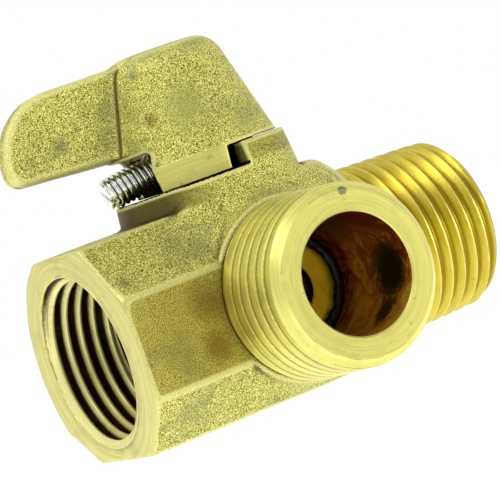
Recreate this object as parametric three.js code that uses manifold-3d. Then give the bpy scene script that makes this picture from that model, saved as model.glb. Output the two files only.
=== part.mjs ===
// Three-port quarter-turn brass valve, 1/2 inch, with a lever handle.
// Millimetres. The origin is where the three passages cross. X runs along the pipe with the
// female port at -X, the branch port leaves along -Y, and Z is the axis of the stem.
import * as THREE from "three";
import { mergeVertices } from "three/addons/utils/BufferGeometryUtils.js";
import Module from "manifold-3d";

const wasm = await Module();
wasm.setup();
const { Manifold, Mesh } = wasm;

// ---- driving dimensions -------------------------------------------------------------------
const SEGMENTS = 40; // facets round the large turned surfaces
const FINE_SEGMENTS = 24; // facets round the small ones
const OVERRUN = 2; // how far a cutting solid runs past the surface it opens
const GAP = 0.3; // clearance between touching pieces
const SWEEP = 14; // reach of the cutting wedges, beyond everything round the stem
const DEG = Math.PI / 180;

// 1/2 inch pipe threads: 14 threads an inch, taper 1 in 16 on the diameter of the male ones
const PITCH = 25.4 / 14;
const THREAD_DEPTH = 1.16;
const TAPER = 1 / 32; // on the radius
const MALE_END_CREST_R = 10.22;
const FEMALE_MINOR_R = 9.32;
const MALE_CHAMFER_R = 9.26;
const MALE_CHAMFER_LENGTH = 1;
const NECK_R = 10.3; // plain neck behind a male thread
const NECK_OVERLAP = 0.1;

// body
const BODY_FLATS = 27.9; // across the upright and the slanting flats of the octagon
const BODY_TOP_Z = 12.5; // its top and bottom flats lie closer to the pipe's axis
const BODY_BOTTOM_Z = -11.7;
const FEMALE_FACE_X = -21.7;
const FEMALE_CHAMFER_R = 13.6;
const CHAMFER_SLOPE = Math.tan(30 * DEG);
const SHOULDER_X = [9, 12.6, 14];
const SHOULDER_R = [15.3, 12.9, 10.9];
const MALE_END_X = 29.3;
const BRANCH_END_Y = 26.3; // distance from the pipe axis
const BRANCH_ROOT_Y = 14;
const BRANCH_BOSS_R = 10.75; // cast root of the branch, turned back a little below the flat
const BRANCH_BOSS_Y = 13.64;
const COLLAR_ROOT_R = 9; // where the collar dies into the barrel
const COLLAR_BASE_Z = 10;
const COLLAR_DRAFT = 0.104; // radius lost for each millimetre of height
const COLLAR_R_AT_DECK = 10.77;
const DECK_Z = 14.95; // floor that the handle sweeps over
const STOP_TOP_Z = 17.6;
const STOP_INNER_R = 7.2;
const STOP_HALF_ANGLE = 41.5;
const STOP_CENTRE_ANGLE = -45;

// passages
const MOUTH_R = 10.1;
const FEMALE_THREAD_END_X = -12.7;
const THREAD_RUNOUT = 1;
const RETAINER_BORE_R = 9;
const CHAMBER_R = 8.6;
const SEAT_PORT_R = 5;
const MALE_BORE_R = 6.8;
const MALE_BORE_START_X = 11;
const BRANCH_BORE_R = 6.78;
const BRANCH_WEB_Y = 10.6;
const BRANCH_PORT_R = 3;

// inner pieces
const BALL_R = 8.25;
const BALL_SIDE_PORT_R = 3.4;
const SEAT_OUTER_R = 8.3;
const SEAT_BORE_R = 5.2;
const SEAT_THIN_X = 5.44; // where the seat's rim faces the ball
const RETAINER_X = [-12.4, -8.7];
const RETAINER_CHAMFER = 0.4;
const RETAINER_SOCKET_R = 6; // to the corners of the hexagon
const STEM_BORE_R = 4.1;
const STEM_R = 3.9;
const STEM_TOP_R = 3.5;
const STEM_FLAT_X = -2.9;
const STEM_FLAT_BOTTOM_Z = 15.8;
const STEM_NECK_Z = 14.75;
const STEM_TOP_Z = 26.5;
const STEM_CHAMFER = 0.5;
const SHOULDER_BORE_R = 5.4;
const SHOULDER_CEILING_Z = 10.8;
const STEM_SHOULDER_R = 5.1;
const STEM_SHOULDER_Z = [8.8, 9.5];
const WASHER_Z = [9.7, 10.5];
const WASHER_INNER_R = 4.2;
const TANG_WIDTH = 2.6;
const TANG_LENGTH = 6.8;
const TANG_BOTTOM_Z = 6.3;
const SLOT_WIDTH = 3.2;
const SLOT_BOTTOM_Z = 6;
const O_RING_Z = [11.95, 13.75];
const O_RING_GROOVE_R = 2.8;
const O_RING_GROOVE_WIDTH = 1.3;
const O_RING_MID_R = 3.45;
const O_RING_SECTION_R = 0.5;
const GASKET_Y = [10.8, 11.7]; // distance from the pipe axis
const GASKET_R = [5.6, 6.58];

// handle, drawn with its blade along -X and then turned to where it rests
const REST_TURN = -10 * DEG; // from the pipe, 9 degrees short of where the lug meets the stop
const HUB_BOTTOM_Z = 15.3;
const HUB_CAST_Z = 17.9;
const HUB_SKIRT_R = 9.72;
const HUB_CORE_R = 6.9;
const HUB_TOP_Z = 31.15;
const HUB_TOP_R = 6.75; // of the cone, where the rounding starts
const HUB_ROUNDING = 2.1;
const LUG_REACH = [90.5, 94.5]; // degrees from the blade to its two ends, on +Y and on -Y
const PAD_X = -5.8;
const PAD_REACH = [7.4, 6.45]; // to its two ends, on +Y and on -Y
const PAD_TOP_Z = 19.9;
const PAD_CORNER_R = [3, 2];
const BLADE_THICKNESS = 4;
const BLADE_EDGE_ROUND = 0.8;
const BLADE_TIP_X = -22.1;
const BLADE_ROOT_X = -3;
const BLADE_TOP_Z = 30.5;
const BLADE_BOTTOM_Z = [19.5, 21]; // at the root and at the tip
const BLADE_TIP_Z = 22.7; // height at which the blade reaches furthest out
const PAD_CUT_DEPTH = 12;
const STEM_HOLE_R = 3.7;
const SCREW_R = 1.9;
const SCREW_HOLE_R = 2.1;
const SCREW_TIP = [-11.8, 16.85]; // x and z of the centre of its slotted end
const SCREW_TILT = 7.5 * DEG;
const SCREW_LENGTH = 8.3;
const SCREW_CHAMFER = 0.5;
const SCREW_SLOT = [0.6, 1.4]; // width and depth
const TAPPED_LENGTH = 20; // of the drill that makes the screw's hole, half of it outside

// ---- geometry helpers ---------------------------------------------------------------------

/** A three.js geometry as a manifold solid that faces outwards. */
function solidOf(geometry) {
  const bare = geometry.clone();
  bare.deleteAttribute("normal");
  bare.deleteAttribute("uv");
  const merged = mergeVertices(bare, 1e-4);
  const corners = merged.index.array;
  const kept = [];
  for (let i = 0; i < corners.length; i += 3) {
    const [a, b, c] = corners.slice(i, i + 3);
    if (a !== b && b !== c && a !== c) kept.push(a, b, c);
  }
  const vertProperties = merged.attributes.position.array;
  const build = (order) =>
    new Manifold(new Mesh({ numProp: 3, vertProperties, triVerts: new Uint32Array(order) }));
  const solid = build(kept);
  return solid.volume() > 0 ? solid : build(kept.reverse());
}

/** A manifold solid back as a three.js geometry. */
function geometryOf(solid) {
  const mesh = solid.getMesh();
  const geometry = new THREE.BufferGeometry();
  geometry.setAttribute("position", new THREE.BufferAttribute(mesh.vertProperties, 3));
  geometry.setIndex(new THREE.BufferAttribute(mesh.triVerts, 1));
  geometry.computeVertexNormals();
  return geometry;
}

// A lathe turns about Y: "x" lays that axis along +X, "branch" along -Y and "z" along +Z.
const ALONG = {
  x: new THREE.Matrix4().makeRotationZ(-Math.PI / 2),
  branch: new THREE.Matrix4().makeRotationX(Math.PI),
  z: new THREE.Matrix4().makeRotationX(Math.PI / 2),
};
const HALF_FACET_TURN = new THREE.Matrix4().makeRotationY(Math.PI / SEGMENTS);

/** A solid of revolution from [height, radius] points, with its axis laid along one of ALONG. */
function turned(points, axis, segments = SEGMENTS) {
  const outline = points.map(([height, radius]) => new THREE.Vector2(radius, height));
  const geometry = new THREE.LatheGeometry(outline, segments);
  if (axis === "branch") geometry.applyMatrix4(HALF_FACET_TURN);
  return solidOf(geometry.applyMatrix4(ALONG[axis]));
}

/** A solid cylinder between two heights on an axis. */
function rod(radius, from, to, axis, segments = SEGMENTS) {
  return turned([[from, 0], [from, radius], [to, radius], [to, 0]], axis, segments);
}

/** A washer between two heights on an axis, from its inner to its outer radius. */
function flatRing([from, to], [inner, outer], axis, segments = SEGMENTS) {
  return turned([[from, inner], [from, outer], [to, outer], [to, inner], [from, inner]], axis, segments);
}

function box(width, depth, height, x, y, z) {
  return solidOf(new THREE.BoxGeometry(width, depth, height).translate(x, y, z));
}

/** An upright wedge about the Z axis, between two angles in degrees. */
function wedge(radius, fromAngle, toAngle, bottom, top) {
  const shape = new THREE.Shape();
  shape.moveTo(0, 0);
  shape.lineTo(radius * Math.cos(fromAngle * DEG), radius * Math.sin(fromAngle * DEG));
  shape.absarc(0, 0, radius, fromAngle * DEG, toAngle * DEG, false);
  shape.closePath();
  const options = { depth: top - bottom, bevelEnabled: false, curveSegments: SEGMENTS };
  return solidOf(new THREE.ExtrudeGeometry(shape, options).translate(0, 0, bottom));
}

/** Crest, flank and root points of a thread drawn as equal grooves from one height to another. */
function grooves(from, to, crestRadius, depth) {
  const step = PITCH * Math.sign(to - from);
  const count = Math.floor(Math.abs(to - from) / PITCH);
  const points = [];
  for (let turn = 0; turn < count; turn += 1) {
    const start = from + turn * step;
    points.push([start, crestRadius(start)]);
    points.push([start + step / 2, crestRadius(start + step / 2) - depth]);
  }
  const end = from + count * step;
  points.push([end, crestRadius(end)]);
  return points;
}

/** A male taper thread that ends in a chamfer at a height on its axis. */
function maleThread(root, rootRadius, end, axis) {
  const crest = (height) => MALE_END_CREST_R + (end - height) * TAPER;
  const start = end - MALE_CHAMFER_LENGTH;
  const lastRoot = start - Math.floor((start - root) / PITCH) * PITCH;
  const profile = grooves(start, lastRoot, crest, THREAD_DEPTH).reverse();
  return turned(
    [[root - OVERRUN, 0], [root - OVERRUN, rootRadius], [lastRoot - NECK_OVERLAP, rootRadius],
      ...profile, [end, MALE_CHAMFER_R], [end, 0]],
    axis,
  );
}

// ---- body ---------------------------------------------------------------------------------

/** The octagonal barrel with its turned chamfer at the female end and shoulder at the other. */
function barrel() {
  const corner = BODY_FLATS / 2 / Math.cos(Math.PI / 8);
  const length = SHOULDER_X[2] - FEMALE_FACE_X;
  const prism = new THREE.CylinderGeometry(corner, corner, length, 8);
  prism.applyMatrix4(ALONG.x).rotateX(Math.PI / 8).translate(FEMALE_FACE_X + length / 2, 0, 0);
  const chamferEnd = FEMALE_FACE_X + (SHOULDER_R[0] - FEMALE_CHAMFER_R) * CHAMFER_SLOPE;
  const envelope = turned(
    [[FEMALE_FACE_X, 0], [FEMALE_FACE_X, FEMALE_CHAMFER_R], [chamferEnd, SHOULDER_R[0]],
      [SHOULDER_X[0], SHOULDER_R[0]], [SHOULDER_X[1], SHOULDER_R[1]],
      [SHOULDER_X[2], SHOULDER_R[2]], [SHOULDER_X[2], 0]],
    "x",
  );
  const height = BODY_TOP_Z - BODY_BOTTOM_Z;
  const slab = box(4 * length, 4 * corner, height, 0, 0, BODY_BOTTOM_Z + height / 2);
  return solidOf(prism).intersect(envelope).intersect(slab);
}

const collarRadius = (z) => COLLAR_R_AT_DECK - (z - DECK_Z) * COLLAR_DRAFT;

/** The round deck under the handle and the raised sector that stops it. */
function collar() {
  const deck = turned(
    [[0, 0], [0, COLLAR_ROOT_R], [COLLAR_BASE_Z, collarRadius(COLLAR_BASE_Z)],
      [DECK_Z, collarRadius(DECK_Z)], [DECK_Z, 0]],
    "z",
  );
  const low = DECK_Z - 1;
  const ring = turned(
    [[low, STOP_INNER_R], [low, collarRadius(low)], [STOP_TOP_Z, collarRadius(STOP_TOP_Z)],
      [STOP_TOP_Z, STOP_INNER_R], [low, STOP_INNER_R]],
    "z",
  );
  const from = STOP_CENTRE_ANGLE - STOP_HALF_ANGLE;
  const to = STOP_CENTRE_ANGLE + STOP_HALF_ANGLE;
  const sector = wedge(SWEEP, from, to, low - OVERRUN, STOP_TOP_Z + OVERRUN);
  return deck.add(ring.intersect(sector));
}

/** The female thread, the bore for the seats, the ball chamber and the male end's bore. */
function runPassage() {
  const mouth = MOUTH_R - FEMALE_MINOR_R;
  const start = FEMALE_FACE_X + mouth;
  const end = FEMALE_THREAD_END_X - THREAD_RUNOUT;
  const thread = grooves(start, end, () => FEMALE_MINOR_R, -THREAD_DEPTH);
  return turned(
    [[FEMALE_FACE_X - OVERRUN, 0], [FEMALE_FACE_X - OVERRUN, MOUTH_R + OVERRUN],
      ...thread, [FEMALE_THREAD_END_X, FEMALE_MINOR_R], [FEMALE_THREAD_END_X, RETAINER_BORE_R],
      [-CHAMBER_R, RETAINER_BORE_R], [-CHAMBER_R, CHAMBER_R], [CHAMBER_R, CHAMBER_R],
      [CHAMBER_R, SEAT_PORT_R], [MALE_BORE_START_X, SEAT_PORT_R],
      [MALE_BORE_START_X, MALE_BORE_R], [MALE_END_X + OVERRUN, MALE_BORE_R],
      [MALE_END_X + OVERRUN, 0]],
    "x",
  );
}

function valveBody() {
  const shell = barrel()
    .add(maleThread(SHOULDER_X[2], NECK_R, MALE_END_X, "x"))
    .add(rod(BRANCH_BOSS_R, 0, BRANCH_BOSS_Y, "branch"))
    .add(maleThread(BRANCH_ROOT_Y, NECK_R, BRANCH_END_Y, "branch"))
    .add(collar());
  const branchBore = rod(BRANCH_BORE_R, BRANCH_WEB_Y, BRANCH_END_Y + OVERRUN, "branch");
  const branchPort = rod(BRANCH_PORT_R, 0, BRANCH_WEB_Y + OVERRUN, "branch");
  const stemBore = rod(STEM_BORE_R, 0, DECK_Z + OVERRUN, "z");
  const shoulderBore = rod(SHOULDER_BORE_R, 0, SHOULDER_CEILING_Z, "z");
  return [runPassage(), branchBore, branchPort, stemBore, shoulderBore]
    .reduce((solid, cut) => solid.subtract(cut), shell);
}

// ---- pieces inside the body -----------------------------------------------------------------

/** Ball with the run passage through it, a side port to the branch and the stem's slot. */
function ball() {
  const sphere = solidOf(new THREE.SphereGeometry(BALL_R, SEGMENTS, SEGMENTS / 2));
  const passage = rod(SEAT_PORT_R, -BALL_R - OVERRUN, BALL_R + OVERRUN, "x");
  const sidePort = rod(BALL_SIDE_PORT_R, 0, BALL_R + OVERRUN, "branch");
  const slotHeight = BALL_R - SLOT_BOTTOM_Z + OVERRUN;
  const slot = box(SLOT_WIDTH, 3 * BALL_R, slotHeight, 0, 0, SLOT_BOTTOM_Z + slotHeight / 2);
  return sphere.subtract(passage).subtract(sidePort).subtract(slot);
}

/** Seat ring on one side of the ball: side is +1 towards the male end, -1 towards the female. */
function seat(side) {
  const cup = BALL_R + GAP;
  const steps = 3;
  const outerAngle = Math.acos(SEAT_THIN_X / cup);
  const innerAngle = Math.asin(SEAT_BORE_R / cup);
  const cupped = Array.from({ length: steps + 1 }, (_, step) => {
    const angle = innerAngle + ((outerAngle - innerAngle) * step) / steps;
    return [side * cup * Math.cos(angle), cup * Math.sin(angle)];
  });
  const back = side * (CHAMBER_R - GAP);
  return turned(
    [...cupped, [side * SEAT_THIN_X, SEAT_OUTER_R], [back, SEAT_OUTER_R],
      [back, SEAT_BORE_R], cupped[0]],
    "x",
  );
}

/** Threaded ring that holds the seats against the ball, with a hexagonal socket through it. */
function seatRetainer() {
  const outer = RETAINER_BORE_R - GAP;
  const [back, front] = RETAINER_X;
  const ring = turned(
    [[back, 0], [back, outer - RETAINER_CHAMFER], [back + RETAINER_CHAMFER, outer],
      [front, outer], [front, 0]],
    "x",
  );
  const length = 2 * (front - back + OVERRUN);
  const socket = new THREE.CylinderGeometry(RETAINER_SOCKET_R, RETAINER_SOCKET_R, length, 6);
  return ring.subtract(solidOf(socket.applyMatrix4(ALONG.x).translate(back, 0, 0)));
}

function torus(midRadius, sectionRadius, axis, at) {
  const steps = 8;
  const section = Array.from({ length: steps + 1 }, (_, step) => {
    const angle = (2 * Math.PI * (step % steps)) / steps;
    return [at + sectionRadius * Math.sin(angle), midRadius + sectionRadius * Math.cos(angle)];
  });
  return turned(section, axis, FINE_SEGMENTS);
}

/** Stem: the tang that turns the ball, the shoulder under the washer, two grooves, the top. */
function stem() {
  const groove = (z) => [
    [z - O_RING_GROOVE_WIDTH / 2, STEM_R], [z - O_RING_GROOVE_WIDTH / 2, O_RING_GROOVE_R],
    [z + O_RING_GROOVE_WIDTH / 2, O_RING_GROOVE_R], [z + O_RING_GROOVE_WIDTH / 2, STEM_R],
  ];
  const shaft = turned(
    [[STEM_SHOULDER_Z[0], 0], [STEM_SHOULDER_Z[0], STEM_SHOULDER_R],
      [STEM_SHOULDER_Z[1], STEM_SHOULDER_R], [STEM_SHOULDER_Z[1], STEM_R],
      ...O_RING_Z.flatMap(groove), [STEM_NECK_Z, STEM_R], [STEM_NECK_Z, STEM_TOP_R],
      [STEM_TOP_Z - STEM_CHAMFER, STEM_TOP_R], [STEM_TOP_Z, STEM_TOP_R - STEM_CHAMFER],
      [STEM_TOP_Z, 0]],
    "z",
    FINE_SEGMENTS,
  );
  const tangHeight = STEM_SHOULDER_Z[1] - TANG_BOTTOM_Z;
  const tangMiddle = TANG_BOTTOM_Z + tangHeight / 2;
  const tang = box(TANG_WIDTH, TANG_LENGTH, tangHeight, 0, 0, tangMiddle);
  const flatHeight = STEM_TOP_Z - STEM_FLAT_BOTTOM_Z + OVERRUN;
  const flatMiddle = STEM_FLAT_BOTTOM_Z + flatHeight / 2;
  const flat = box(STEM_R, 4 * STEM_R, flatHeight, STEM_FLAT_X - STEM_R / 2, 0, flatMiddle);
  return shaft.add(tang).subtract(flat);
}

function thrustWasher() {
  return flatRing(WASHER_Z, [WASHER_INNER_R, STEM_SHOULDER_R], "z", FINE_SEGMENTS);
}

/** Flat rubber ring that lies at the bottom of the branch bore. */
function branchGasket() {
  return flatRing(GASKET_Y, GASKET_R, "branch");
}

// ---- handle -------------------------------------------------------------------------------

/** Outline of the blade seen from the side, in x and z, inside its rounded edge. */
function bladeOutline() {
  const round = BLADE_EDGE_ROUND;
  const upper = BLADE_TOP_Z - BLADE_TIP_Z - round;
  const lower = BLADE_TIP_Z - BLADE_BOTTOM_Z[1] - round;
  const left = BLADE_TIP_X + round;
  const shape = new THREE.Shape();
  shape.moveTo(BLADE_ROOT_X, BLADE_BOTTOM_Z[0] + round);
  shape.lineTo(BLADE_ROOT_X, BLADE_TOP_Z - round);
  shape.absarc(left + upper, BLADE_TIP_Z, upper, 90 * DEG, 180 * DEG, false);
  shape.absarc(left + lower, BLADE_TIP_Z, lower, 180 * DEG, 265 * DEG, false);
  return shape;
}

function blade() {
  const round = BLADE_EDGE_ROUND;
  const geometry = new THREE.ExtrudeGeometry(bladeOutline(), {
    depth: BLADE_THICKNESS - 2 * round,
    bevelThickness: round,
    bevelSize: round,
    bevelSegments: 2,
    curveSegments: 10,
  });
  geometry.translate(0, 0, round - BLADE_THICKNESS / 2);
  return solidOf(geometry.rotateX(Math.PI / 2));
}

/** The cast cone of the hub, rounded over at the top. */
function hubCone() {
  const steps = 5;
  const roundStart = HUB_TOP_Z - HUB_ROUNDING;
  const rounding = Array.from({ length: steps + 1 }, (_, step) => {
    const angle = (90 * DEG * step) / steps;
    const radius = HUB_TOP_R - HUB_ROUNDING * (1 - Math.cos(angle));
    return [roundStart + HUB_ROUNDING * Math.sin(angle), radius];
  });
  return turned([[HUB_CAST_Z, 0], [HUB_CAST_Z, HUB_SKIRT_R], ...rounding, [HUB_TOP_Z, 0]], "z");
}

/** The turned lower part: a round core, and lugs that sweep between the faces of the stop. */
function hubLower() {
  const top = HUB_CAST_Z + GAP;
  const core = rod(HUB_CORE_R, HUB_BOTTOM_Z, top, "z");
  const disc = rod(HUB_SKIRT_R, HUB_BOTTOM_Z, HUB_CAST_Z, "z");
  const bottom = HUB_BOTTOM_Z - OVERRUN;
  const [left, right] = LUG_REACH;
  const sector = wedge(SWEEP, 180 - left, 180 + right, bottom, top);
  return core.add(disc.intersect(sector));
}

/** Clearance under the blade that leaves the flat pad which the set screw goes into. */
function padClearance() {
  const [left, right] = PAD_REACH;
  const [leftCorner, rightCorner] = PAD_CORNER_R;
  const shape = new THREE.Shape();
  shape.moveTo(-left, HUB_BOTTOM_Z - OVERRUN);
  shape.lineTo(right, HUB_BOTTOM_Z - OVERRUN);
  shape.absarc(right - rightCorner, PAD_TOP_Z - rightCorner, rightCorner, 0, 90 * DEG, false);
  shape.absarc(leftCorner - left, PAD_TOP_Z - leftCorner, leftCorner, 90 * DEG, 180 * DEG, false);
  shape.closePath();
  const options = { depth: PAD_CUT_DEPTH, bevelEnabled: false, curveSegments: 6 };
  const geometry = new THREE.ExtrudeGeometry(shape, options);
  geometry.rotateX(Math.PI / 2).rotateZ(-Math.PI / 2).translate(PAD_X, 0, 0);
  return solidOf(geometry);
}

/** Lays a geometry turned about Y along the set screw, its end at the slotted face. */
function placeOnScrew(geometry) {
  const [x, z] = SCREW_TIP;
  return solidOf(geometry.rotateZ(-Math.PI / 2).rotateY(-SCREW_TILT).translate(x, 0, z));
}

function handle() {
  const holeBottom = HUB_BOTTOM_Z - OVERRUN;
  const stemHole = rod(STEM_HOLE_R, holeBottom, STEM_TOP_Z + GAP, "z", FINE_SEGMENTS);
  const tapped = new THREE.CylinderGeometry(
    SCREW_HOLE_R, SCREW_HOLE_R, TAPPED_LENGTH, FINE_SEGMENTS,
  );
  return hubCone()
    .add(hubLower())
    .subtract(padClearance())
    .add(blade())
    .subtract(stemHole)
    .subtract(placeOnScrew(tapped));
}

/** Slotted set screw that goes through the pad and bears on the stem's flat. */
function setScrew() {
  const outline = [
    [0, 0], [0, SCREW_R - SCREW_CHAMFER], [SCREW_CHAMFER, SCREW_R],
    [SCREW_LENGTH - SCREW_CHAMFER, SCREW_R], [SCREW_LENGTH, SCREW_R - SCREW_CHAMFER],
    [SCREW_LENGTH, 0],
  ].map(([height, radius]) => new THREE.Vector2(radius, height));
  const shank = placeOnScrew(new THREE.LatheGeometry(outline, FINE_SEGMENTS));
  const [width, depth] = SCREW_SLOT;
  const slot = new THREE.BoxGeometry(width, 2 * depth, 3 * SCREW_R);
  return shank.subtract(placeOnScrew(slot));
}

// ---- assembly -----------------------------------------------------------------------------
const FINISH = {
  castBrass: { color: 0xa79a45, roughness: 0.62, metalness: 0.9 },
  machinedBrass: { color: 0xd8c257, roughness: 0.32, metalness: 1 },
  chrome: { color: 0xd6d8da, roughness: 0.12, metalness: 1 },
  ptfe: { color: 0xf0efe8, roughness: 0.55, metalness: 0 },
  rubber: { color: 0x1a1918, roughness: 0.7, metalness: 0 },
  zinc: { color: 0xb9bfba, roughness: 0.35, metalness: 1 },
};

function piece(name, solid, finish) {
  const mesh = new THREE.Mesh(geometryOf(solid), new THREE.MeshStandardMaterial(FINISH[finish]));
  mesh.name = name;
  return mesh;
}

const fixed = new THREE.Group();
fixed.add(
  piece("valve_body", valveBody(), "castBrass"),
  piece("seat_male_side", seat(1), "ptfe"),
  piece("seat_female_side", seat(-1), "ptfe"),
  piece("seat_retainer", seatRetainer(), "machinedBrass"),
  piece("stem_thrust_washer", thrustWasher(), "ptfe"),
  piece("branch_gasket", branchGasket(), "rubber"),
);

const moving = new THREE.Group();
moving.add(
  piece("ball", ball(), "chrome"),
  piece("stem", stem(), "machinedBrass"),
  piece("stem_o_ring_lower", torus(O_RING_MID_R, O_RING_SECTION_R, "z", O_RING_Z[0]), "rubber"),
  piece("stem_o_ring_upper", torus(O_RING_MID_R, O_RING_SECTION_R, "z", O_RING_Z[1]), "rubber"),
  piece("handle", handle(), "castBrass"),
  piece("handle_set_screw", setScrew(), "zinc"),
);
moving.rotation.z = REST_TURN;

const valve = new THREE.Group();
valve.add(fixed, moving);

export default valve;
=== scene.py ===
# Three-port quarter-turn brass valve, 1/2 inch, with a lever handle.
# Lengths are millimetres until a mesh is made. X runs along the pipe, the branch leaves along -Y
# and Z is the axis of the stem.
import math

import bmesh
import bpy
import numpy as np
from mathutils import Matrix, Vector, noise


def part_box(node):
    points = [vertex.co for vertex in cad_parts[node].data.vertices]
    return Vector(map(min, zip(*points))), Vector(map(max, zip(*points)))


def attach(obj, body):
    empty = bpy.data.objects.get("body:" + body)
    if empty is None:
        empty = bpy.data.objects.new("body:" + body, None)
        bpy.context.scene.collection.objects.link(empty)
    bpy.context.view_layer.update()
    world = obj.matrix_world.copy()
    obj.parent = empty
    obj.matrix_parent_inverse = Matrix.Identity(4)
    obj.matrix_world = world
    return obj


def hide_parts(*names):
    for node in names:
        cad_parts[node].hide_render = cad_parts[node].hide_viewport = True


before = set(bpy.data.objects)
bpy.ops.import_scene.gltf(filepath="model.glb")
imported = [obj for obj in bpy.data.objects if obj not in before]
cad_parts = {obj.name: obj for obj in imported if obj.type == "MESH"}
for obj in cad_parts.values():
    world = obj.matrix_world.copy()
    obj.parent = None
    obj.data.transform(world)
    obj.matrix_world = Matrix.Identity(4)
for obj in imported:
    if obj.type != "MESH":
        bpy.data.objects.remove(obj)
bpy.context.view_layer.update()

MM = 0.001
BODY_LOW, BODY_HIGH = (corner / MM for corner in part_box("valve_body"))
HANDLE_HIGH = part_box("handle")[1] / MM

# ---- sizes ----
# pipe threads: 14 turns to the inch, and the male ones taper 1 in 16 on the diameter
PITCH = 25.4 / 14
TAPER = 1 / 32
MALE_CREST_R = 10.22
MALE_CHAMFER_R = 9.26
MALE_CHAMFER_LENGTH = 1.0
RUN_DEPTH = 0.85
RUN_START_X = 14.5
RUN_CREST_X = 27.2 - PITCH / 2
BRANCH_DEPTH = 0.11
BRANCH_START = 14.3
BRANCH_CREST = 25.2
FEMALE_MINOR_R = 9.32
FEMALE_DEPTH = 1.1
FEMALE_CREST = 1.35  # from the face to the first crest
MOUTH_R = 10.1
MOUTH_SLOPE = 2.2
MOUTH_RIM = 0.7  # depth of the strip at the face that has no thread
NECK_R = 10.15

# body: the cast barrel, the branch's boss, and the collar with the handle's stop
FACE_X = BODY_LOW.x
RUN_END_X = BODY_HIGH.x
BRANCH_END = -BODY_LOW.y
HALF_FLATS = 13.95
BODY_TOP_Z = 12.5
BODY_BOTTOM_Z = BODY_LOW.z
FACE_CHAMFER_R = 14.25
FACE_CHAMFER_SLOPE = math.radians(52)
FACE_CHAMFER_MIDDLE = (-0.5, -0.45)
BACK_CORNERS = ((math.radians(-56), 12.95), (math.radians(60), 13.5))  # bearing and reach
BACK_CORNER_SLOPE = 0.12
SHOULDER_X = (9.0, 12.8, 14.0)
SHOULDER_R = (15.3, 13.1, 10.9)
SHOULDER_TOP = 0.5  # how much higher the top flat is at the shoulder
SHOULDER_TOP_RUN = 2
SHOULDER_ROUNDING = 0.6
SHOULDER_END_ROUNDING = 0.4
FACE_ROUNDING = 0.12
CHAMFER_ROUNDING = 0.2
BARREL_ROUNDING = 0.5
EDGE_ROUNDING = 0.25
BOSS_R = 10.75
BOSS_END = 13.9
BOSS_ROUNDING = 0.25
BOSS_FILLET = (0.05, 1.6)
BOSS_FILLET_GROWTH = 0.6
COLLAR_R = 10.77
COLLAR_DRAFT = 0.104
COLLAR_ROUNDING = 0.25
COLLAR_FILLET = (0.35, 3.0)
COLLAR_FILLET_FROM_Y = (6.2, 9.0)
DECK_Z = 14.95
# low ridge at the rim of the deck under the set screw, painted black with the deck as shade
RIDGE_HEIGHT = 0.17
RIDGE_FROM_R, RIDGE_RISE = 9.8, 0.2
RIDGE_FROM_X, RIDGE_RUN = -6.5, 1.5
STOP_TOP_Z = BODY_HIGH.z
STOP_INNER_R = 7.2
STOP_ROUNDING = 0.2
STOP_FROM, STOP_TO = math.radians(-86.5), math.radians(-3.5)

# hollows of the casting; each pair is the middle and half the length of one
FEMALE_END_X = -12.7
MOUTH_GAP, MOUTH_DEPTH = 0.02, 0.6
FEMALE_POCKET_R, FEMALE_POCKET_HALF = 10.7, 4.3
RETAINER_BORE_R, RETAINER_BORE_X = 9.0, (-10.7, 2.1)
CHAMBER_R = 8.6
SEAT_PORT_R, SEAT_PORT_X = 5.0, (10, 2)
RUN_POCKET_R, RUN_POCKET_X = 9.0, 12.2
BORE_R, RUN_BORE_X = 6.79, (12, 1.0)
BRANCH_POCKET_R, BRANCH_POCKET = 8.8, 9.9
WEB_CUT_R, WEB_CUT_Y = 5.0, (-10, 2)
STEM_BORE_R = 4.1
STEM_SEAT_R, STEM_SEAT_Z = 5.4, (8, 2.8)
LINER_R = 10.9  # reach of everything that lines the run
WEB = 10.6
WEB_PORT_R = 3.0

# handle, drawn with its blade along -X and then turned to where it rests
REST_TURN = math.radians(-10)
HANDLE_GAP = 0.06
HUB_BOTTOM_Z = DECK_Z + HANDLE_GAP
HUB_TOP_Z = HANDLE_HIGH.z
HUB_CAST_Z = STOP_TOP_Z + HANDLE_GAP
HUB_TAPER_Z = 17.9
HUB_SKIRT_R = 9.72
HUB_SLOPE = 0.266
HUB_CORE_R = 6.9
HUB_ROUNDING = 2.6
LUG_REACH = (math.radians(90.5), math.radians(94.5))
LUG_LEAN = math.radians(0.6)
LUG_ROUNDING = 0.12
LUG_OVERLAP = 0.4
PAD_X = -5.8
PAD_REACH = (7.4, 6.45)
PAD_TOP_Z = 19.9
PAD_CORNER_R = (3.0, 0.6)
PAD_NEAR_LEAN = 0.1
PAD_ROUNDING = 0.2
BLADE_HALF = 2.0
BLADE_EDGE = 1.0
BLADE_TIP_X = -22.1
BLADE_TOP_Z = 30.64
BLADE_TIP_UPPER_R = 7.8
BLADE_TIP_LOWER_R = 1.7
BLADE_BOTTOM_Z = (19.5, 21.0)
BLADE_FILLET = 1.3
TOP_STEP_X, TOP_STEP_STEEPNESS = -5.6, 3.4  # where the blade's top rises to the hub's
TOP_ROUNDING = 0.7
STEM_HOLE_R, STEM_HOLE_TOP_Z = 3.7, 26.8
SCREW_TIP = (-11.8, 16.85)
SCREW_TILT = math.radians(7.5)
SCREW_LENGTH = 8.3
SCREW_R = 1.93
SCREW_PITCH = 0.7
SCREW_DEPTH = 0.36
SCREW_POINT, SCREW_POINT_SLOPE = 0.42, 0.9
SCREW_HOLE_GAP = 0.07
SCREW_SLOT = (0.5, 0.9)  # width and depth
SCREW_SLOT_TURN = math.radians(30)
GASKET_HALF_WIDTH = 0.62

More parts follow.
